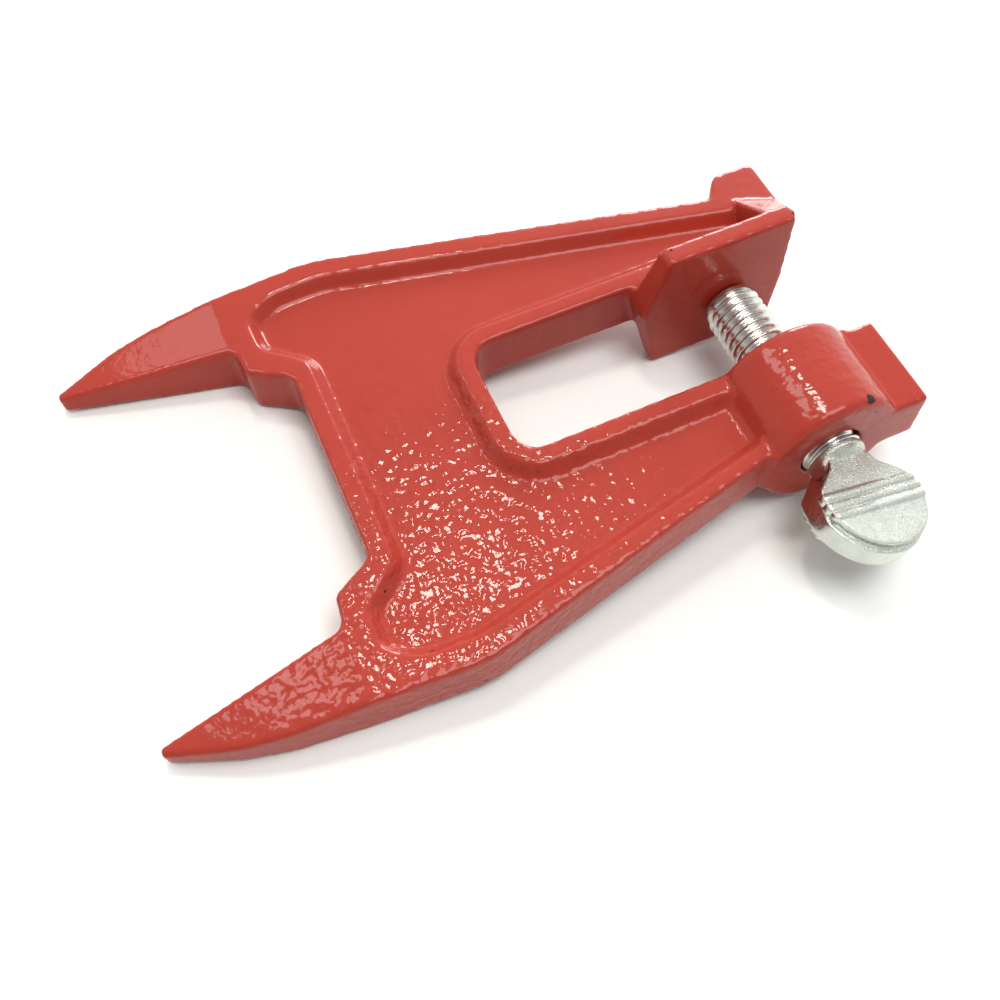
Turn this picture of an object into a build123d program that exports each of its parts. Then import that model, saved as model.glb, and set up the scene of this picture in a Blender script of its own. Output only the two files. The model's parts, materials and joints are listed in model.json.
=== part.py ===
from build123d import *
import math
import os

os.makedirs("parts", exist_ok=True)

# Stump vise for holding a chainsaw bar while its chain is filed.
#
# Casting frame, millimetres: +X runs from the spike tips to the hammer pads,
# +Y runs from the screw boss to the jaw plate, Z = 0 is the middle plane of
# the casting, and the screw turns on a line parallel to Y.
# At the end everything is tipped about Y and lifted, so that the vise lies on
# its side at rest with the floor at Z = 0.

# ---- driving dimensions ----------------------------------------------------

TIP_X = -0.6                 # spike tips
PAD_END_X = 164.3            # end faces of the hammer pads
HALF_THICKNESS = 6.35        # the casting is 12.7 thick over its rims
WEB_HALF_THICKNESS = 3.45    # web between the rims
FLANK = 2.35                 # width of the sloping side of a rim

TIP_Y = 42.1                 # middle of a spike's point
TIP_HALF_WIDTH = 0.9
TIP_HALF_HEIGHT = 2.2
SPIKE_LENGTH = 37.0          # the stretch that thins towards the point

KNEE_X = 60.0                # widest place, where spike turns into arm
KNEE_Y = 51.9
ARM_END_Y = 30.0             # outer edge of the arm at the pads

NOTCH_X = 47.1               # straight edge between the spikes
NOTCH_HALF_WIDTH = 22.9
STEP_X = 38.3
STEP_Y = 27.9
SPIKE_ROOT_Y = 34.6

SLOT_X = 83.3                # closed end of the slot for the bar
SLOT_HALF_WIDTH = 14.3
SLOT_CORNER = 5.5

RIM = 4.0                    # flat top of the rims at the slot and the notch
OUTER_RIM = 5.2              # flat top of the rims at the knee
OUTER_RIM_END = 4.4          # and at the ends of the arms

PAD_X = 150.2
PAD_OUTER_Y = 35.8
PAD_LENGTH_NEAR = 36.3       # the pad beside the boss, hidden part included
PAD_INNER_Y_NEAR = 15.2

SCREW_X = 142.7
SCREW_Z = -0.4               # the boss sits a little below the middle plane
BOSS_RADIUS = 15.5
BOSS_NEAR_Y = -36.9
BOSS_EDGE = 1.6
BOSS_FAR_Y = -SLOT_HALF_WIDTH

JAW_FACE_Y = 7.1
JAW_BACK_Y = 11.6
JAW_ROOT_Y = 13.4
JAW_TOP = 19.2
JAW_BOTTOM = -14.2
WALL_X = 151.4               # inner face of the end wall at the back of the jaw plate
WALL_FOOT_Y = 27.2           # where its slope reaches the pad
WALL_SKEW = 24.0             # the slope up to the jaw plate runs askew to the slot
BEYOND = 60.0                # clear of the casting, for cuts that go right through

SCREW_DIAMETER = 12.7        # 1/2 inch, 13 threads per inch
THREAD_PITCH = 25.4 / 13
THREAD_DEPTH = 1.15
BORE_CLEARANCE = 0.07        # on the radius
JAW_GAP = 0.6                # left open between the screw point and the jaw
POINT_LENGTH = 1.5
POINT_DIAMETER = 11.4
POINT_CHAMFER = 0.7

THREAD_OUTSIDE = 1.3         # thread left showing between the boss and the collar
COLLAR_LENGTH = 1.0
HEAD_RADIUS = 12.0           # round end of the grip
HEAD_OFFSET = -0.3           # the forged head is a little off centre
HEAD_LENGTH = 24.5           # from the thread to the end of the grip
HEAD_THICKNESS = 7.0
HEAD_EDGE = 0.6
HEAD_TURN = 17.0             # degrees the head has turned past flat at rest
NECK_HALF_WIDTH = 4.4
PARTING_HEIGHT = 1.5         # where the two halves of the forging meet
LIP = 0.3                    # how much larger the lower half is
LIP_SHIFT = 0.5              # and how far it is out of line with the upper half
UPPER_SHOULDER = 4.0         # from the centre of the round end to the shoulder
LOWER_SHOULDER = 5.6
GRIP_RIBS = 3
RIB_SPACING = 2.1
RIB_RADIUS = 1.15
RIB_HEIGHT = 0.45
FIRST_RIB = 1.6              # from the first rib to the centre of the round end


def corner_outline(corners):
    """A face with straight sides; each corner is (x, y, radius)."""
    face = make_face(Polyline([(x, y) for x, y, _ in corners], close=True))
    for x, y, radius in corners:
        if radius:
            vertex = face.vertices().sort_by_distance(Vector(x, y, 0))[0]
            face = fillet(vertex, radius)
    return face


def outer_edge_y(x):
    """Y of the straight outer edge of an arm."""
    slope = (ARM_END_Y - KNEE_Y) / (PAD_X - KNEE_X)
    return KNEE_Y + slope * (x - KNEE_X)


# ---- the casting -----------------------------------------------------------

def half_plan():
    """Outline of the flat casting on the +Y side, from the middle line out."""
    corners = [
        (NOTCH_X, -1, 0),
        (NOTCH_X, NOTCH_HALF_WIDTH, 3.5),
        (STEP_X, STEP_Y, 2.2),
        (STEP_X - 0.6, SPIKE_ROOT_Y, 3.0),
        (TIP_X, TIP_Y - TIP_HALF_WIDTH, 0.7),
        (TIP_X, TIP_Y + TIP_HALF_WIDTH, 0.7),
        (5.5, 45.3, 12),
        (13, 48.0, 20),
        (22, 49.7, 40),
        (38, 50.7, 80),
        (KNEE_X, KNEE_Y, 30),
        (PAD_X, ARM_END_Y, 1.5),
        (PAD_X + 4.0, PAD_OUTER_Y, 2.5),
        (PAD_END_X, PAD_OUTER_Y, 2.0),
        (PAD_END_X, 22.9, 0),
        (157.6, SLOT_HALF_WIDTH, 0),
        (SLOT_X, SLOT_HALF_WIDTH, SLOT_CORNER),
        (SLOT_X, -1, 0),
    ]
    return corner_outline(corners)


def plan():
    far = half_plan()
    near = mirror(half_plan(), about=Plane.XZ)
    pad = Rectangle(PAD_LENGTH_NEAR, -PAD_INNER_Y_NEAR - BOSS_NEAR_Y)
    pad = Pos(PAD_END_X - PAD_LENGTH_NEAR / 2, (BOSS_NEAR_Y - PAD_INNER_Y_NEAR) / 2) * pad
    half = Rectangle(2 * (PAD_END_X + BEYOND), 2 * BEYOND)
    far_side = Pos(0, BEYOND) * half
    near_side = Pos(0, -BEYOND) * half
    return (far & far_side) + (near & near_side) + pad


def pocket_corners():
    """Top edge of the sunk panel, round the slot and into both arms."""
    left = NOTCH_X + RIM
    slot_rim = SLOT_HALF_WIDTH + RIM
    root_y = outer_edge_y(KNEE_X) - OUTER_RIM
    near_end = 129.2
    far_end = 159.0
    near_y = -(outer_edge_y(near_end) - OUTER_RIM_END + 1.2)
    far_y = outer_edge_y(far_end) - OUTER_RIM_END
    bend = SLOT_CORNER + RIM
    return [
        (left, NOTCH_HALF_WIDTH + 3.0, 5),
        (STEP_X + 4.4, STEP_Y + 5.0, 5),
        (STEP_X + 4.0, 42.0, 4.5),
        (STEP_X + 11.0, root_y - 0.4, 8),
        (KNEE_X + 1, root_y, 20),
        (far_end, far_y, 2.6),
        (far_end, slot_rim, 2.6),
        (SLOT_X - RIM, slot_rim, bend),
        (SLOT_X - RIM, -slot_rim, bend),
        (near_end, -slot_rim, 2.6),
        (near_end, near_y, 2.6),
        (KNEE_X + 1, -root_y, 20),
        (STEP_X + 11.0, 0.4 - root_y, 8),
        (STEP_X + 4.0, -42.0, 4.5),
        (STEP_X + 4.4, -STEP_Y - 5.0, 5),
        (left, -NOTCH_HALF_WIDTH - 3.0, 5),
    ]


def pocket():
    depth = HALF_THICKNESS - WEB_HALF_THICKNESS
    taper = math.degrees(math.atan2(FLANK, depth))
    outline = corner_outline(pocket_corners())
    return extrude(Pos(0, 0, HALF_THICKNESS) * outline, amount=-depth, taper=taper)


def spike_wedge():
    """What is cut away above the spikes so that they thin to their points."""
    slope = (HALF_THICKNESS - TIP_HALF_HEIGHT) / SPIKE_LENGTH
    side = Polyline([
        (-BEYOND, TIP_HALF_HEIGHT - BEYOND * slope),
        (SPIKE_LENGTH, HALF_THICKNESS),
        (SPIKE_LENGTH, BEYOND),
        (-BEYOND, BEYOND),
    ], close=True)
    return extrude(make_face(Plane.XZ * side), amount=BEYOND, both=True)


def boss():
    length = BOSS_FAR_Y - BOSS_NEAR_Y
    blank = Cylinder(BOSS_RADIUS, length, rotation=(90, 0, 0))
    ends = blank.edges().filter_by(GeomType.CIRCLE)
    blank = fillet(ends, BOSS_EDGE)
    return Pos(SCREW_X, (BOSS_FAR_Y + BOSS_NEAR_Y) / 2, SCREW_Z) * blank


def jaw_plate():
    """Upright plate that the bar is clamped against, with drafted ends."""
    front = Polyline([
        (126.6, JAW_TOP),
        (121.7, 3.4),
        (125.6, JAW_BOTTOM),
        (155.4, JAW_BOTTOM),
        (156.9, 1.0),
        (156.6, JAW_TOP),
    ], close=True)
    plate = extrude(make_face(Plane.XZ * front), amount=BEYOND, dir=(0, 1, 0))
    side = Polyline([
        (JAW_FACE_Y, JAW_BOTTOM),
        (JAW_FACE_Y, JAW_TOP),
        (JAW_BACK_Y, JAW_TOP),
        (JAW_ROOT_Y, HALF_THICKNESS),
        (SLOT_HALF_WIDTH + 1, HALF_THICKNESS - 3),
        (SLOT_HALF_WIDTH + 1, 3 - HALF_THICKNESS),
        (JAW_ROOT_Y, -HALF_THICKNESS),
        (JAW_BACK_Y, JAW_BOTTOM),
    ], close=True)
    band = extrude(make_face(Plane.YZ * side), amount=PAD_END_X, dir=(1, 0, 0))
    return plate & band


def end_wall():
    """Wall that rises from the far pad to the end of the jaw plate."""
    plan_view = Polyline([
        (150.6, JAW_FACE_Y + 1),
        (WALL_X, JAW_BACK_Y),
        (154.6, WALL_FOOT_Y),
        (155.4, 32.0),
        (PAD_END_X, 32.0),
        (PAD_END_X, 22.9),
        (157.6, 9.4),
        (156.7, JAW_FACE_Y + 1),
    ], close=True)
    wall = extrude(make_face(plan_view), amount=BEYOND, both=True)
    slope = Polyline([
        (JAW_FACE_Y + 1, JAW_BOTTOM),
        (JAW_FACE_Y + 1, JAW_TOP),
        (JAW_BACK_Y, JAW_TOP),
        (WALL_FOOT_Y, HALF_THICKNESS),
        (33.0, HALF_THICKNESS),
        (33.0, -HALF_THICKNESS),
        (24.5, -HALF_THICKNESS),
        (JAW_BACK_Y + 2, JAW_BOTTOM),
    ], close=True)
    band = extrude(make_face(Plane.YZ * slope), amount=BEYOND, both=True)
    turned = Rot(0, 0, -WALL_SKEW) * Pos(0, -JAW_BACK_Y, 0) * band
    return wall & (Pos(WALL_X, JAW_BACK_Y, 0) * turned)


def casting():
    body = extrude(plan(), amount=HALF_THICKNESS, both=True)
    for side in (0, 180):
        body -= Rot(side, 0, 0) * spike_wedge()
    body -= pocket()
    body -= mirror(pocket(), about=Plane.XY)
    body += boss()
    body += jaw_plate()
    body += end_wall()
    bore = Cylinder(SCREW_DIAMETER / 2 + BORE_CLEARANCE, BOSS_FAR_Y - BOSS_NEAR_Y + 4, rotation=(90, 0, 0))
    body -= Pos(SCREW_X, (BOSS_FAR_Y + BOSS_NEAR_Y) / 2, SCREW_Z) * bore
    return body


# ---- the thumb screw -------------------------------------------------------

POINT_Y = JAW_FACE_Y - JAW_GAP
THREAD_START_Y = POINT_Y - POINT_LENGTH
THREAD_END_Y = BOSS_NEAR_Y - THREAD_OUTSIDE
HEAD_END_Y = THREAD_END_Y - HEAD_LENGTH


def screw_point():
    """Plain nose at the end of the thread, which presses on the bar."""
    radius = POINT_DIAMETER / 2
    profile = Polyline([
        (0, THREAD_START_Y),
        (radius, THREAD_START_Y),
        (radius, POINT_Y - POINT_CHAMFER),
        (radius - POINT_CHAMFER, POINT_Y),
        (0, POINT_Y),
    ], close=True)
    return Pos(SCREW_X, 0, SCREW_Z) * revolve(make_face(profile), axis=Axis.Y)


def threaded_shank():
    """Shank with the thread's V profile, a plain collar and a cone into the head."""
    crest = SCREW_DIAMETER / 2
    root = crest - THREAD_DEPTH
    flat = THREAD_PITCH / 8
    turns = int((THREAD_START_Y - THREAD_END_Y) / THREAD_PITCH)
    points = [(0, THREAD_START_Y), (root, THREAD_START_Y)]
    for turn in range(turns):
        y = THREAD_START_Y - turn * THREAD_PITCH
        points.append((root, y - flat / 2))
        points.append((crest, y - THREAD_PITCH / 2 + flat / 2))
        points.append((crest, y - THREAD_PITCH / 2 - flat / 2))
        points.append((root, y - THREAD_PITCH + flat / 2))
    points.append((root, THREAD_END_Y + 0.3))
    points.append((crest, THREAD_END_Y))
    points.append((crest, THREAD_END_Y - COLLAR_LENGTH))
    points.append((HEAD_THICKNESS / 2, THREAD_END_Y - COLLAR_LENGTH - 1.6))
    points.append((0, THREAD_END_Y - COLLAR_LENGTH - 1.6))
    return revolve(make_face(Polyline(points, close=True)), axis=Axis.Y)


def spade_outline(radius, offset, end_y, shoulder):
    """Outline of the grip: flared shoulders from the neck, then a round end."""
    centre_y = end_y + radius
    right = offset + radius
    left = offset - radius
    neck_y = THREAD_END_Y - COLLAR_LENGTH / 2
    up = ((0, 1), (0, 1))
    left_side = Spline([
        (left, centre_y),
        (left + 0.7, centre_y + shoulder - 0.9),
        (left + 2.9, centre_y + shoulder + 1.3),
        (-NECK_HALF_WIDTH - 1.2, centre_y + shoulder + 3.9),
        (-NECK_HALF_WIDTH, neck_y),
    ], tangents=up)
    right_side = Spline([
        (right, centre_y),
        (right - 1.2, centre_y + 3.4),
        (NECK_HALF_WIDTH + 2.0, centre_y + 7.0),
        (NECK_HALF_WIDTH, neck_y),
    ], tangents=up)
    neck = Line((-NECK_HALF_WIDTH, neck_y), (NECK_HALF_WIDTH, neck_y))
    end = ThreePointArc((right, centre_y), (offset, end_y), (left, centre_y))
    return make_face([left_side, neck, right_side, end])


def grip_half(outline, bottom, top, edge_z):
    """One half of the forged grip, with its outer edges broken."""
    half = extrude(Pos(0, 0, bottom) * outline, amount=top - bottom, dir=(0, 0, 1))
    edges = [edge for edge in half.edges() if abs(edge.center().Z - edge_z) < 0.01]
    return chamfer(edges, HEAD_EDGE)


def grip_ribs(outline):
    """Raised ribs across both flat sides, ended at the grip's outline."""
    half_height = HEAD_THICKNESS / 2
    first_y = HEAD_END_Y + LIP_SHIFT + LIP + HEAD_RADIUS + FIRST_RIB
    bars = Part()
    for index in range(GRIP_RIBS):
        for side in (1, -1):
            height = side * (half_height + RIB_HEIGHT - RIB_RADIUS)
            bar = Cylinder(RIB_RADIUS, 4 * HEAD_RADIUS, rotation=(0, 90, 0))
            bars += Pos(0, first_y - index * RIB_SPACING, height) * bar
    reach = extrude(outline, amount=HEAD_THICKNESS, both=True)
    return bars & reach


def spade_head():
    """Flat thumb grip forged in two halves that are slightly out of line."""
    half_height = HEAD_THICKNESS / 2
    upper = spade_outline(HEAD_RADIUS, HEAD_OFFSET, HEAD_END_Y + LIP_SHIFT + LIP, UPPER_SHOULDER)
    lower = spade_outline(HEAD_RADIUS + LIP, HEAD_OFFSET - LIP_SHIFT, HEAD_END_Y, LOWER_SHOULDER)
    head = grip_half(lower, -half_height, PARTING_HEIGHT, -half_height)
    head += grip_half(upper, PARTING_HEIGHT - 0.2, half_height, half_height)
    return head + grip_ribs(upper)


def thumb_screw():
    screw = threaded_shank() + Rot(0, HEAD_TURN, 0) * spade_head()
    return Pos(SCREW_X, 0, SCREW_Z) * screw


# ---- at rest on a flat floor -----------------------------------------------

def resting_tilt():
    """Tilt about Y at which the roots of the spikes and the boss both touch the floor."""
    run = SCREW_X - SPIKE_LENGTH
    rise = SCREW_Z + HALF_THICKNESS
    tangent = math.asin(BOSS_RADIUS / math.hypot(run, rise))
    return math.degrees(tangent - math.atan2(rise, run))


pieces = {
    "vise_casting": casting(),
    "screw_point": screw_point(),
    "thumb_screw": thumb_screw(),
}
tilt = resting_tilt()
tipped = {name: Rot(0, -tilt, 0) * piece for name, piece in pieces.items()}
box = Compound(list(tipped.values())).bounding_box()
to_floor = Pos(-box.center().X, -box.center().Y, -box.min.Z)

for name, piece in tipped.items():
    placed = to_floor * piece
    placed.label = name
    export_step(placed, f"parts/{name}.step")
print("tilt", round(tilt, 4), "moved", to_floor.position)
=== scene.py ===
import bmesh
import bpy
import json
import math
from mathutils import Euler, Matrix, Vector, noise


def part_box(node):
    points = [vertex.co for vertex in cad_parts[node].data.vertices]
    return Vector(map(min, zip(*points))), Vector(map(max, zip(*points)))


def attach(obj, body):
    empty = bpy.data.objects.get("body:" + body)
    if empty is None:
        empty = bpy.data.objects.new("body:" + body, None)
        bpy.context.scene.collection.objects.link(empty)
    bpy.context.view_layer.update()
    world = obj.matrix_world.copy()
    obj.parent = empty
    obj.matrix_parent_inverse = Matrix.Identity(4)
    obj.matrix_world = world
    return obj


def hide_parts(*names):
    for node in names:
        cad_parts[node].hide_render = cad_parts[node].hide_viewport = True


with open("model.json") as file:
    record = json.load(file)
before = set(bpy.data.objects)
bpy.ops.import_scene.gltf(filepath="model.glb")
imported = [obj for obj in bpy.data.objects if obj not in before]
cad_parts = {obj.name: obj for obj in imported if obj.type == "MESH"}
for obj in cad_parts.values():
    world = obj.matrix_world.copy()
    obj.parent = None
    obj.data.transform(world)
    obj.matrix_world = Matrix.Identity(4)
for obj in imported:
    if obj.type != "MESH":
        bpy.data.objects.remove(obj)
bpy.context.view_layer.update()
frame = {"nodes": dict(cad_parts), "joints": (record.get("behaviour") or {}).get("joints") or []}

MM = 0.001

# ---- places and angles ----

def joint(name):
    for entry in frame["joints"]:
        if entry["name"] == name:
            return entry
    raise KeyError(name)


SCREW_AXIS = Vector(joint("screw_turn")["pos_m"])
CASTING_LOW, CASTING_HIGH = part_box("vise_casting")
POINT_LOW = Vector(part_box("screw_point")[0])
HEAD_LOW = Vector(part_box("thumb_screw")[0])

# The casting lies tipped up at its clamp end by this much.
TILT_DEG = 5.1971
# The grip's flat sides are turned about the screw by this much from level.
GRIP_TURN = math.radians(17.0 - TILT_DEG)


def from_screw(x, y, z):
    """A place in the scene, given in mm from the screw's joint."""
    return tuple(SCREW_AXIS + Vector((x, y, z)) * MM)


# ---- camera ----

CAMERA_FROM_SCREW = Vector((-0.12090, -0.09756, 0.18292))
CAMERA_TURN_DEG = (30.704, -3.111, -23.726)

camera_data = bpy.data.cameras.new("camera")
camera_data.lens = 39.01
camera_data.sensor_width = 36.0
camera_data.clip_start = 0.01
camera_data.clip_end = 20.0
camera = bpy.data.objects.new("camera", camera_data)
camera.location = SCREW_AXIS + CAMERA_FROM_SCREW
camera.rotation_euler = Euler([math.radians(degrees) for degrees in CAMERA_TURN_DEG], "XYZ")
bpy.context.collection.objects.link(camera)
bpy.context.scene.camera = camera

# ---- node helpers ----

COORDS = "coords"
# Nearly all of a noise's values lie between these two.
NOISE_LOW = 0.3
NOISE_HIGH = 0.7


def new_material(name):
    material = bpy.data.materials.new(name)
    material.use_nodes = True
    tree = material.node_tree
    tree.nodes.clear()
    output = tree.nodes.new("ShaderNodeOutputMaterial")
    shader = tree.nodes.new("ShaderNodeBsdfPrincipled")
    tree.links.new(shader.outputs["BSDF"], output.inputs["Surface"])
    coords = tree.nodes.new("ShaderNodeTexCoord")
    coords.name = COORDS
    return material, tree, shader, coords.outputs["Object"]


def noise_node(tree, vector, per_mm, detail, roughness):
    """Noise whose features are about 1 / per_mm millimetres across."""
    node = tree.nodes.new("ShaderNodeTexNoise")
    node.inputs["Scale"].default_value = per_mm / MM
    node.inputs["Detail"].default_value = detail
    node.inputs["Roughness"].default_value = roughness
    tree.links.new(vector, node.inputs["Vector"])
    return node.outputs["Fac"]


def ramp(tree, value, low, high, out_low=0.0, out_high=1.0):
    """Map low to out_low and high to out_high, and hold the value beyond them."""
    node = tree.nodes.new("ShaderNodeMapRange")
    node.inputs["From Min"].default_value = low
    node.inputs["From Max"].default_value = high
    node.inputs["To Min"].default_value = out_low
    node.inputs["To Max"].default_value = out_high
    tree.links.new(value, node.inputs["Value"])
    return node.outputs["Result"]


def spread(tree, noise_value, out_low=0.0, out_high=1.0):
    """Stretch a noise between two values."""
    return ramp(tree, noise_value, NOISE_LOW, NOISE_HIGH, out_low, out_high)


def math_node(tree, operation, a, b=None):
    node = tree.nodes.new("ShaderNodeMath")
    node.operation = operation
    for index, value in enumerate((a, b)):
        if value is not None:
            tree.links.new(value, node.inputs[index])
    return node.outputs[0]


def mix_colour(tree, factor, a, b):
    """Blend from a to b, each a colour or another node's output."""
    node = tree.nodes.new("ShaderNodeMix")
    node.data_type = "RGBA"
    tree.links.new(factor, node.inputs["Factor"])
    for socket, value in ((node.inputs["A"], a), (node.inputs["B"], b)):
        if isinstance(value, tuple):
            socket.default_value = (*value, 1.0)
        else:
            tree.links.new(value, socket)
    return node.outputs["Result"]


def bump(tree, height, distance_mm, strength, under=None):
    """A bumped normal, laid over another one where under is given."""
    node = tree.nodes.new("ShaderNodeBump")
    node.inputs["Distance"].default_value = distance_mm * MM
    node.inputs["Strength"].default_value = strength
    tree.links.new(height, node.inputs["Height"])
    if under is not None:
        tree.links.new(under, node.inputs["Normal"])
    return node.outputs["Normal"]


def near_mask(tree, place, centre, radius_mm, soft_mm):
    """1 inside a ball about a place on the object, fading to 0 outside it."""
    node = tree.nodes.new("ShaderNodeVectorMath")
    node.operation = "DISTANCE"
    tree.links.new(place, node.inputs[0])
    node.inputs[1].default_value = centre
    return ramp(tree, node.outputs["Value"], radius_mm * MM, (radius_mm + soft_mm) * MM, 1.0, 0.0)


# ---- materials ----

ENAMEL_RED = (0.355, 0.033, 0.019)
ENAMEL_RED_LIGHT = (0.395, 0.039, 0.022)
ENAMEL_RED_DEEP = (0.340, 0.024, 0.012)
CHIPPED = (0.030, 0.022, 0.020)
THREAD_ZINC = (0.66, 0.67, 0.63)
THREAD_ZINC_LIGHT = (0.80, 0.81, 0.77)
GRIP_ZINC = (0.58, 0.605, 0.55)
GRIP_ZINC_LIGHT = (0.68, 0.71, 0.64)
GRIP_ZINC_SPOT = (0.46, 0.47, 0.43)

# The sand mould's texture shows most about this place, between the near spike and the slot, and
# is gone at this reach from it, in mm. It fades over these widths in the enamel and in the shape.
HAMMERED_PLACE = from_screw(-72.0, -14.0, -5.0)
HAMMERED_REACH = 60.0
ENAMEL_FADE = 26.0
SHAPE_FADE = 34.0
# Bump height away from that place, and on top of the boss, as shares of its full height.
SMOOTH_SHARE = 0.13
BOSS_SHARE = 0.50
BOSS_TOP = from_screw(-1.0, -5.6, 14.0)
# Bump height of the grip's sandy skin on its edges, as a share of that on its flat sides.
EDGE_SAND = 0.15

# The clear skin's weight where it is whole, and its share on steep sides and on chips. A side
# is steep below the first part of its normal that points up or down, and level above the second.
FULL_COAT = 0.78
STEEP_COAT = 0.62
CHIPPED_COAT = 0.1
STEEP_BELOW = 0.25
LEVEL_ABOVE = 0.60

# Chips and pinholes in the enamel: place from the screw's joint and radius, in mm. Each is bare
# in its core and ragged beyond it, both as shares of the radius.
FLAWS = (
    (4.6, -15.7, 14.7, 1.1),
    (6.3, -16.9, 11.0, 0.35),
    (12.2, 28.5, 20.5, 0.55),
    (-16.0, 30.5, 18.2, 0.45),
    (-62.0, -27.0, -9.7, 0.45),
    (-83.5, -31.7, -11.0, 0.45),
    (-91.8, -25.4, -2.6, 0.4),
    (-95.4, -10.5, -3.3, 0.35),
)
FLAW_CORE = 0.55
FLAW_RAGGED = 0.9


def red_enamel():
    """Thick red enamel over a sand casting, with a clear glossy skin and a few chips."""
    material, tree, shader, place = new_material("red_enamel")
    broad = noise_node(tree, place, per_mm=0.04, detail=3.0, roughness=0.55)
    fine = noise_node(tree, place, per_mm=0.9, detail=3.0, roughness=0.6)
    cast = noise_node(tree, place, per_mm=0.42, detail=1.2, roughness=0.5)
    peel = noise_node(tree, place, per_mm=0.85, detail=1.0, roughness=0.5)
    colour = mix_colour(tree, spread(tree, broad), ENAMEL_RED, ENAMEL_RED_LIGHT)
    deep = ramp(tree, fine, low=0.35, high=0.75, out_low=0.0, out_high=0.30)
    colour = mix_colour(tree, deep, colour, ENAMEL_RED_DEEP)
    tree.links.new(spread(tree, fine, out_low=0.42, out_high=0.55), shader.inputs["Roughness"])
    shader.inputs["Specular IOR Level"].default_value = 0.12
    shader.inputs["Coat IOR"].default_value = 1.37
    shader.inputs["Coat Roughness"].default_value = 0.08

    thick = near_mask(tree, place, HAMMERED_PLACE, HAMMERED_REACH - ENAMEL_FADE, ENAMEL_FADE)
    on_boss = near_mask(tree, place, BOSS_TOP, radius_mm=13.0, soft_mm=5.0)
    depth = math_node(tree, "MAXIMUM", ramp(tree, thick, 0.0, 1.0, SMOOTH_SHARE, 1.0),
                      ramp(tree, on_boss, 0.0, 1.0, 0.0, BOSS_SHARE))
    height = math_node(tree, "MULTIPLY", cast, depth)
    normal = bump(tree, peel, distance_mm=0.05, strength=0.6)
    normal = bump(tree, height, distance_mm=0.44, strength=0.9, under=normal)

    split = tree.nodes.new("ShaderNodeSeparateXYZ")
    tree.links.new(tree.nodes[COORDS].outputs["Normal"], split.inputs["Vector"])
    upright = math_node(tree, "ABSOLUTE", split.outputs["Z"])
    gloss = ramp(tree, upright, STEEP_BELOW, LEVEL_ABOVE, STEEP_COAT, 1.0)
    for x, y, z, radius in FLAWS:
        inside = near_mask(tree, place, from_screw(x, y, z), radius * FLAW_CORE, radius * FLAW_RAGGED)
        ragged = math_node(tree, "MULTIPLY", spread(tree, fine, out_low=0.3, out_high=1.6), inside)
        bare = ramp(tree, ragged, low=0.45, high=0.60)
        colour = mix_colour(tree, bare, colour, CHIPPED)
        gloss = math_node(tree, "MULTIPLY", gloss, ramp(tree, bare, 0.0, 1.0, 1.0, CHIPPED_COAT))
    tree.links.new(ramp(tree, gloss, 0.0, 1.0, 0.0, FULL_COAT), shader.inputs["Coat Weight"])
    tree.links.new(colour, shader.inputs["Base Color"])
    tree.links.new(normal, shader.inputs["Normal"])
    tree.links.new(normal, shader.inputs["Coat Normal"])
    return material


def zinc_thread():
    """Bright zinc on the rolled thread and the screw's point."""
    material, tree, shader, place = new_material("zinc_thread")
    cloud = noise_node(tree, place, per_mm=0.5, detail=3.0, roughness=0.6)
    grain = noise_node(tree, place, per_mm=3.0, detail=3.0, roughness=0.6)
    colour = mix_colour(tree, spread(tree, cloud), THREAD_ZINC, THREAD_ZINC_LIGHT)
    tree.links.new(colour, shader.inputs["Base Color"])
    shader.inputs["Metallic"].default_value = 1.0
    tree.links.new(spread(tree, grain, out_low=0.12, out_high=0.26), shader.inputs["Roughness"])
    tree.links.new(bump(tree, grain, distance_mm=0.03, strength=0.7), shader.inputs["Normal"])
    return material


def forged_zinc():
    """Bright zinc over a forging: sandy on the flat sides, smooth on the edges."""
    material, tree, shader, place = new_material("forged_zinc")
    across = tree.nodes.new("ShaderNodeVectorMath")
    across.operation = "DOT_PRODUCT"
    tree.links.new(tree.nodes[COORDS].outputs["Normal"], across.inputs[0])
    across.inputs[1].default_value = (math.sin(GRIP_TURN), 0.0, math.cos(GRIP_TURN))
    facing = math_node(tree, "ABSOLUTE", across.outputs["Value"])
    flat = ramp(tree, facing, low=0.30, high=0.62)
    cloud = noise_node(tree, place, per_mm=0.25, detail=3.0, roughness=0.6)
    sand = noise_node(tree, place, per_mm=3.4, detail=3.0, roughness=0.65)
    dents = noise_node(tree, place, per_mm=0.55, detail=2.0, roughness=0.5)
    colour = mix_colour(tree, spread(tree, cloud), GRIP_ZINC, GRIP_ZINC_LIGHT)
    spots = ramp(tree, sand, low=0.54, high=0.66, out_low=0.0, out_high=0.45)
    tree.links.new(mix_colour(tree, spots, colour, GRIP_ZINC_SPOT), shader.inputs["Base Color"])
    shader.inputs["Metallic"].default_value = 1.0
    rough = tree.nodes.new("ShaderNodeMix")
    rough.data_type = "FLOAT"
    tree.links.new(flat, rough.inputs["Factor"])
    tree.links.new(spread(tree, sand, out_low=0.12, out_high=0.20), rough.inputs["A"])
    tree.links.new(spread(tree, sand, out_low=0.22, out_high=0.34), rough.inputs["B"])
    tree.links.new(rough.outputs["Result"], shader.inputs["Roughness"])
    height = math_node(tree, "MULTIPLY", sand, ramp(tree, flat, 0.0, 1.0, EDGE_SAND, 1.0))
    normal = bump(tree, dents, distance_mm=0.06, strength=0.6)
    normal = bump(tree, height, distance_mm=0.18, strength=0.9, under=normal)
    tree.links.new(normal, shader.inputs["Normal"])
    return material


ENAMEL = red_enamel()
BRIGHT_ZINC = zinc_thread()
FORGED_ZINC = forged_zinc()

# ---- mesh helpers ----

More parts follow.
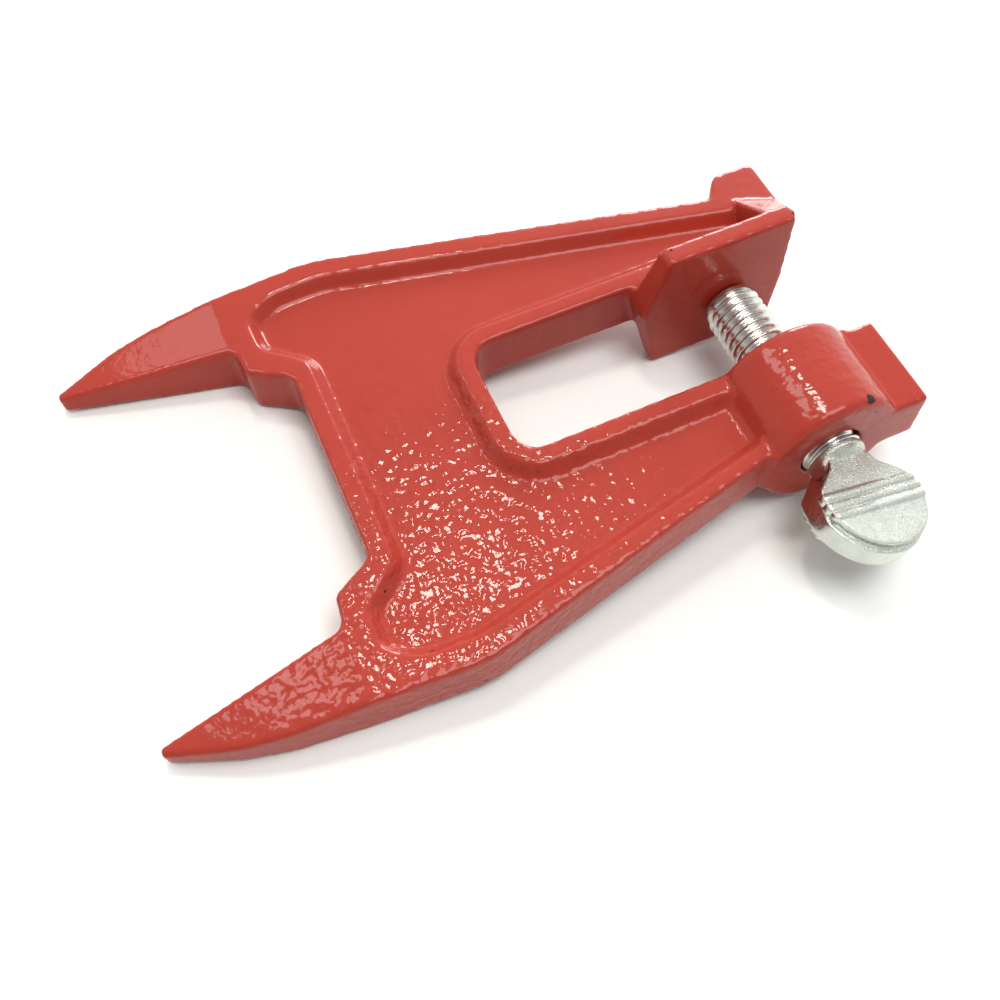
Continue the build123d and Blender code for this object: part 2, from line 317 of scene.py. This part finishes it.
def add_object(name, mesh, material):
    piece = bpy.data.objects.new(name, mesh)
    bpy.context.collection.objects.link(piece)
    mesh.materials.clear()
    mesh.materials.append(material)
    for polygon in mesh.polygons:
        polygon.use_smooth = True
    return piece


def applied(name, carrier):
    """The carrier's mesh with its modifiers applied; the carrier is removed."""
    graph = bpy.context.evaluated_depsgraph_get()
    mesh = bpy.data.meshes.new_from_object(carrier.evaluated_get(graph))
    mesh.name = name
    bpy.data.objects.remove(carrier)
    return mesh


def evened(name, source_mesh, voxel_mm, passes):
    """The same solid with an even mesh and softened edges."""
    rough = bpy.data.objects.new(name + "_rough", source_mesh)
    bpy.context.collection.objects.link(rough)
    even = rough.modifiers.new("even", "REMESH")
    even.mode = "VOXEL"
    even.voxel_size = voxel_mm * MM
    soften = rough.modifiers.new("soften", "SMOOTH")
    soften.factor = 0.5
    soften.iterations = passes
    return applied(name, rough)


def thinned(name, mesh, most_triangles):
    """The same mesh cut to about this many triangles, mostly out of its flat places."""
    full = bpy.data.objects.new(name + "_full", mesh)
    bpy.context.collection.objects.link(full)
    fewer = full.modifiers.new("fewer", "DECIMATE")
    mesh.calc_loop_triangles()
    fewer.ratio = min(1.0, most_triangles / len(mesh.loop_triangles))
    return applied(name, full)


def skin_rows(shape, rows):
    """Close a stack of rings of vertices into a solid."""
    around = len(rows[0])
    faces = [shape.faces.new(rows[0]), shape.faces.new(rows[-1][::-1])]
    for lower, upper in zip(rows, rows[1:]):
        for spoke in range(around):
            after = (spoke + 1) % around
            faces.append(shape.faces.new((lower[spoke], upper[spoke], upper[after], lower[after])))
    bmesh.ops.recalc_face_normals(shape, faces=faces)


def smooth_step(value):
    """0 below 0, 1 above 1, and a smooth rise between them."""
    t = min(max(value, 0.0), 1.0)
    return t * t * (3.0 - 2.0 * t)


# ---- the casting ----

# Radius of the bore as shown, in mm, and the stretch of the screw's axis it is kept open over,
# half a millimetre past each face of the boss.
BORE_SHOWN = 6.75
BOSS_NEAR = SCREW_AXIS.y - 17.4 * MM
BOSS_FAR = SCREW_AXIS.y + 6.2 * MM

# The mould's waviness: waves to a millimetre, height in mm, and where in the noise it is read.
BROAD_WAVE = (0.10, 0.05, Vector((0.0, 0.0, 0.0)))
COARSE_WAVE = (0.30, 0.008, Vector((4.0, 9.0, 2.0)))
HAMMERED_WAVE = (0.62, 0.030, Vector((7.0, 3.0, 1.0)))


def wave_height(p, wave):
    per_mm, height, shift = wave
    return height * noise.noise(p * per_mm + shift)


def hammered(p):
    """Height in mm of the waviness left by the sand mould and the enamel."""
    away = (p - Vector(HAMMERED_PLACE) / MM).length
    thick = min(max((HAMMERED_REACH - away) / SHAPE_FADE, 0.0), 1.0)
    everywhere = wave_height(p, BROAD_WAVE) + wave_height(p, COARSE_WAVE)
    return everywhere + thick * wave_height(p, HAMMERED_WAVE)


def open_bore(co):
    """Push the bore's wall out to where it clears the thread."""
    from_axis = co - SCREW_AXIS
    radial = Vector((from_axis.x, from_axis.z)) / MM
    if radial.length >= BORE_SHOWN:
        return
    radial *= BORE_SHOWN / radial.length
    co.x = SCREW_AXIS.x + radial.x * MM
    co.z = SCREW_AXIS.z + radial.y * MM


def build_casting():
    source = frame["nodes"]["vise_casting"].data.copy()
    mesh = evened("casting_body", source, voxel_mm=0.42, passes=18)
    normals = [vertex.normal.copy() for vertex in mesh.vertices]
    for vertex, normal in zip(mesh.vertices, normals):
        p = Vector(vertex.co) / MM
        vertex.co += normal * hammered(p) * MM
        if BOSS_NEAR < vertex.co.y < BOSS_FAR:
            open_bore(vertex.co)
        for axis in range(3):
            vertex.co[axis] = min(max(vertex.co[axis], CASTING_LOW[axis]), CASTING_HIGH[axis])
    mesh = thinned("casting_body", mesh, most_triangles=190000)
    piece = add_object("casting_body", mesh, ENAMEL)
    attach(piece, "body")
    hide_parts("vise_casting")


# ---- the screw's thread ----

PITCH = 25.4 / 13 * MM
CREST = 6.35 * MM
THREAD_DEPTH = 1.15 * MM
ROUND_SHARE = 0.6
AROUND = 96
ALONG_STEP = PITCH / 16
# The thread rises out of its root over this length at the point, and starts this far under it.
LEAD_IN = 1.2 * MM
LEAD_DROP = 0.1 * MM


def thread_profile(phase):
    """Share of the thread depth at this phase of a turn: 0 in the root, 1 on the crest."""
    round_form = 0.5 - 0.5 * math.cos(2.0 * math.pi * phase)
    sharp_form = 1.0 - abs(phase - 0.5) * 2.0
    return ROUND_SHARE * round_form + (1.0 - ROUND_SHARE) * sharp_form


def build_thread(y_tip, y_end):
    mesh = bpy.data.meshes.new("screw_thread")
    shape = bmesh.new()
    rows = []
    for step in range(int((y_tip - y_end) / ALONG_STEP) + 1):
        y = y_tip - step * ALONG_STEP
        lead = min((y_tip - y) / LEAD_IN, 1.0)
        most = CREST - (THREAD_DEPTH + LEAD_DROP) * (1.0 - lead)
        row = []
        for spoke in range(AROUND):
            angle = 2.0 * math.pi * spoke / AROUND
            phase = (y / PITCH - spoke / AROUND) % 1.0
            radius = min(CREST - THREAD_DEPTH * (1.0 - thread_profile(phase)), most)
            row.append(shape.verts.new((SCREW_AXIS.x + radius * math.sin(angle), y,
                                        SCREW_AXIS.z + radius * math.cos(angle))))
        rows.append(row)
    skin_rows(shape, rows)
    shape.to_mesh(mesh)
    shape.free()
    piece = add_object("screw_thread", mesh, BRIGHT_ZINC)
    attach(piece, "screw")


# ---- the screw's head ----

# Directions across the grip's flat sides and out of them.
ACROSS = Vector((math.cos(GRIP_TURN), 0.0, -math.sin(GRIP_TURN)))
OUTWARD = Vector((math.sin(GRIP_TURN), 0.0, math.cos(GRIP_TURN)))

# Collar and neck, in mm. Lengths count along the screw, outwards from the joint's place.
NECK_START = 18.3
COLLAR_EDGE = 18.7
COLLAR_END = 19.2
COLLAR_RADIUS = 6.32
THREAD_INTO_COLLAR = 0.3
NECK_LENGTH = 4.3
NECK_RINGS = 16
NECK_AROUND = 72
# Over its length the neck widens and leans to one side; its height drops more quickly.
NECK_WIDENS = 1.0
NECK_LEANS = 0.6
NECK_HALF_HEIGHT = 3.42
NECK_DROP_HEIGHT = 2.90
NECK_DROP_LENGTH = 1.9
# The power of a section's superellipse: round at the collar, and this much squarer at the end.
ROUND_CORNER = 2.0
SQUARER = 3.0

# The grip, in mm. It is forged in two halves that are a little out of line.
GRIP_START = 20.0
CURVE_STEPS = 8
END_STEPS = 48
UPPER_HALF = {"radius": 12.0, "offset": -0.3, "end": 41.9, "shoulder": 4.0, "neck": 5.0}
LOWER_HALF = {"radius": 12.3, "offset": -0.8, "end": 42.6, "shoulder": 5.6, "neck": 5.9}
HALF_FLAT = 3.5
PARTING = 1.5
# From one flat side to the other: height over the middle, and how far the outline draws in.
GRIP_LEVELS = (
    (-HALF_FLAT, 0.55),
    (-HALF_FLAT + 0.25, 0.18),
    (-HALF_FLAT + 0.8, 0.0),
    (0.0, 0.0),
    (PARTING - 0.35, 0.0),
    (PARTING - 0.05, 0.25),
    (PARTING + 0.05, 0.65),
    (PARTING + 0.9, 0.25),
    (HALF_FLAT - 0.25, 0.08),
    (HALF_FLAT, 0.35),
)
# Between these heights the outline only draws in round the end, which leaves the lip there.
LIP_LOW = -1.0
LIP_HIGH = HALF_FLAT - 0.5
LIP_START = 30.5
LIP_FADE = 2.5

# Ribs across the grip: where they are along the screw, and their size, in mm.
RIBS = (28.4, 30.5, 32.6)
RIB_HALF_WIDTH = 1.05
RIB_HEIGHT = 0.48
# In the upper half they fade in above the parting line. In the lower half they show only where
# the surface faces straight down, by the part of its normal in that direction.
RIB_ABOVE_PARTING = 0.2
RIB_SIDE_FADE = 0.9
RIB_FACING = 0.5
RIB_FACING_FADE = 0.3
# The forging's waviness: waves to a millimetre and height in mm.
FORGED_WAVES = ((0.45, 0.05), (2.2, 0.015))


def grip_place(out, side, rise):
    return SCREW_AXIS + (ACROSS * side + OUTWARD * rise - Vector((0.0, out, 0.0))) * MM


def squared(value, power):
    return math.copysign(abs(value) ** power, value)


def add_neck(shape):
    """Round collar, then the blend into the flat grip."""
    neck_outs = [COLLAR_END + NECK_LENGTH * ring / NECK_RINGS for ring in range(NECK_RINGS + 1)]
    rows = []
    for out in [NECK_START, COLLAR_EDGE] + neck_outs:
        t = min(max((out - COLLAR_END) / NECK_LENGTH, 0.0), 1.0)
        half_width = COLLAR_RADIUS + NECK_WIDENS * t * t
        drop = max(1.0 - max(out - COLLAR_END, 0.0) / NECK_DROP_LENGTH, 0.0)
        half_height = NECK_HALF_HEIGHT + NECK_DROP_HEIGHT * drop * drop
        power = 2.0 / (ROUND_CORNER + SQUARER * t)
        row = []
        for spoke in range(NECK_AROUND):
            angle = 2.0 * math.pi * spoke / NECK_AROUND
            side = squared(math.cos(angle), power) * half_width - NECK_LEANS * t
            rise = squared(math.sin(angle), power) * half_height
            row.append(shape.verts.new(grip_place(out, side, rise)))
        rows.append(row)
    skin_rows(shape, rows)


def through(points):
    """Points of a smooth curve through the given ones."""
    ends = [points[0]] + list(points) + [points[-1]]
    curve = []
    for a, b, c, d in zip(ends, ends[1:], ends[2:], ends[3:]):
        for step in range(CURVE_STEPS):
            t = step / CURVE_STEPS
            curve.append(tuple(
                0.5 * (2 * q + (r - p) * t + (2 * p - 5 * q + 4 * r - e) * t * t
                       + (3 * q - p - 3 * r + e) * t ** 3)
                for p, q, r, e in zip(a, b, c, d)))
    curve.append(points[-1])
    return curve


def grip_outline(radius, offset, end, shoulder, neck):
    """Outline of the grip as (out, side), from one side of the neck round to the other."""
    centre = end - radius
    left = offset - radius
    right = offset + radius
    # Each side is set out from the end arc's centre, its widest places and the neck.
    left_side = through([
        (GRIP_START, -neck),
        (centre - shoulder - 4.0, -neck - 1.0),
        (centre - shoulder - 1.4, left + 3.1),
        (centre - shoulder + 0.7, left + 0.8),
        (centre, left),
    ])
    right_side = through([
        (centre, right),
        (centre - 3.3, right - 1.1),
        (centre - 7.0, neck + 1.2),
        (GRIP_START, neck),
    ])
    end_arc = []
    for step in range(1, END_STEPS):
        angle = math.pi * step / END_STEPS
        end_arc.append((centre + radius * math.sin(angle), offset - radius * math.cos(angle)))
    return left_side + end_arc + right_side


def add_grip(shape):
    """The forged grip: two halves a little out of line, with a lip round the end."""
    upper = grip_outline(**UPPER_HALF)
    lower = grip_outline(**LOWER_HALF)
    rows = []
    for rise, inset in GRIP_LEVELS:
        row = []
        straight = (HALF_FLAT - rise) / (2.0 * HALF_FLAT)
        stepped = 1.0 if rise < PARTING else 0.0
        for index, (a, b) in enumerate(zip(upper, lower)):
            round_end = smooth_step((a[0] - LIP_START) / LIP_FADE)
            share = straight * (1.0 - round_end) + stepped * round_end
            before = upper[index - 1]
            after = upper[(index + 1) % len(upper)]
            inward = Vector((before[1] - after[1], after[0] - before[0])).normalized()
            pull = inset * (round_end if LIP_LOW < rise < LIP_HIGH else 1.0)
            out = a[0] + (b[0] - a[0]) * share + inward.x * pull
            side = a[1] + (b[1] - a[1]) * share + inward.y * pull
            row.append(shape.verts.new(grip_place(out, side, rise)))
        rows.append(row)
    skin_rows(shape, rows)


def rib_height(out):
    for middle in RIBS:
        reach = (out - middle) / RIB_HALF_WIDTH
        if abs(reach) < 1.0:
            return RIB_HEIGHT * (1.0 - reach * reach)
    return 0.0


def build_head():
    shape = bmesh.new()
    add_neck(shape)
    add_grip(shape)
    rough = bpy.data.meshes.new("screw_head_rough")
    shape.to_mesh(rough)
    shape.free()
    mesh = evened("screw_head", rough, voxel_mm=0.17, passes=4)
    normals = [vertex.normal.copy() for vertex in mesh.vertices]
    for vertex, normal in zip(mesh.vertices, normals):
        p = Vector(vertex.co) / MM
        from_axis = (vertex.co - SCREW_AXIS) / MM
        rise = from_axis.dot(OUTWARD)
        if rise > 0.0:
            ribbed = smooth_step((rise - PARTING - RIB_ABOVE_PARTING) / RIB_SIDE_FADE)
        else:
            ribbed = smooth_step((abs(normal.dot(OUTWARD)) - RIB_FACING) / RIB_FACING_FADE)
        lift = rib_height(-from_axis.y) * ribbed
        lift += sum(height * noise.noise(p * per_mm) for per_mm, height in FORGED_WAVES)
        vertex.co += normal * lift * MM
        vertex.co.y = max(vertex.co.y, HEAD_LOW.y)
    piece = add_object("screw_head", mesh, FORGED_ZINC)
    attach(piece, "screw")
    return piece


build_casting()
build_thread(POINT_LOW.y, SCREW_AXIS.y - (NECK_START + THREAD_INTO_COLLAR) * MM)
head = build_head()
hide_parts("thumb_screw")
point = frame["nodes"]["screw_point"]
for slot in point.material_slots:
    slot.material = BRIGHT_ZINC

# ---- floor and light ----

FLOOR_HALF = 1.5
FLOOR_GREY = (0.85, 0.87, 0.84)
FLOOR_GREY_LIGHT = (0.88, 0.90, 0.87)
WHITE = (1.0, 1.0, 1.0)
# Soft round lights: name, place, what it is aimed at, size, all in metres, watts and colour.
LIGHTS = (
    ("sparkle", (-0.015, 0.195, 0.600), (-0.012, -0.029, 0.013), 0.085, 0.80, (1.0, 0.93, 0.84)),
    ("soft_key", (0.75, 1.10, 0.55), (0, 0, 0), 0.55, 12.0, WHITE),
    ("overhead", (0.10, -0.17, 1.00), (0, 0, 0), 0.62, 6.2, WHITE),
    ("window", (-0.42, 0.47, 1.00), (0, 0, 0), 0.26, 1.15, WHITE),
    ("far_window", (-0.40, 0.93, 1.00), (0, 0, 0), 0.24, 0.45, WHITE),
)


def build_floor():
    mesh = bpy.data.meshes.new("floor")
    corners = [(-1, -1), (1, -1), (1, 1), (-1, 1)]
    mesh.from_pydata([(x * FLOOR_HALF, y * FLOOR_HALF, 0) for x, y in corners], [], [(0, 1, 2, 3)])
    material, tree, shader, place = new_material("floor")
    cloud = noise_node(tree, place, per_mm=0.004, detail=2.0, roughness=0.5)
    colour = mix_colour(tree, cloud, FLOOR_GREY, FLOOR_GREY_LIGHT)
    tree.links.new(colour, shader.inputs["Base Color"])
    shader.inputs["Roughness"].default_value = 0.6
    floor = add_object("floor", mesh, material)


def area_light(name, place, aim, size, power, colour):
    data = bpy.data.lights.new(name, "AREA")
    data.shape = "DISK"
    data.size = size
    data.energy = power
    data.color = colour
    light = bpy.data.objects.new(name, data)
    light.location = place
    light.rotation_euler = (Vector(aim) - Vector(place)).to_track_quat("-Z", "Y").to_euler()
    bpy.context.collection.objects.link(light)


def studio_world():
    """Pale surroundings, brighter low down, behind the object and to its right."""
    world = bpy.data.worlds.new("world")
    world.use_nodes = True
    tree = world.node_tree
    background = tree.nodes["Background"]
    coords = tree.nodes.new("ShaderNodeTexCoord")
    split = tree.nodes.new("ShaderNodeSeparateXYZ")
    tree.links.new(coords.outputs["Generated"], split.inputs["Vector"])
    upward = ramp(tree, split.outputs["Z"], low=0.10, high=0.60, out_low=1.15, out_high=0.52)
    backward = ramp(tree, split.outputs["Y"], low=-0.7, high=0.6, out_low=0.58, out_high=1.12)
    rightward = ramp(tree, split.outputs["X"], low=-0.5, high=0.9, out_low=0.85, out_high=1.25)
    level = math_node(tree, "MULTIPLY", upward, backward)
    tree.links.new(math_node(tree, "MULTIPLY", level, rightward), background.inputs["Strength"])
    background.inputs["Color"].default_value = (*WHITE, 1.0)
    bpy.context.scene.world = world


build_floor()
for light in LIGHTS:
    area_light(*light)
studio_world()
bpy.context.scene.view_settings.view_transform = "Standard"
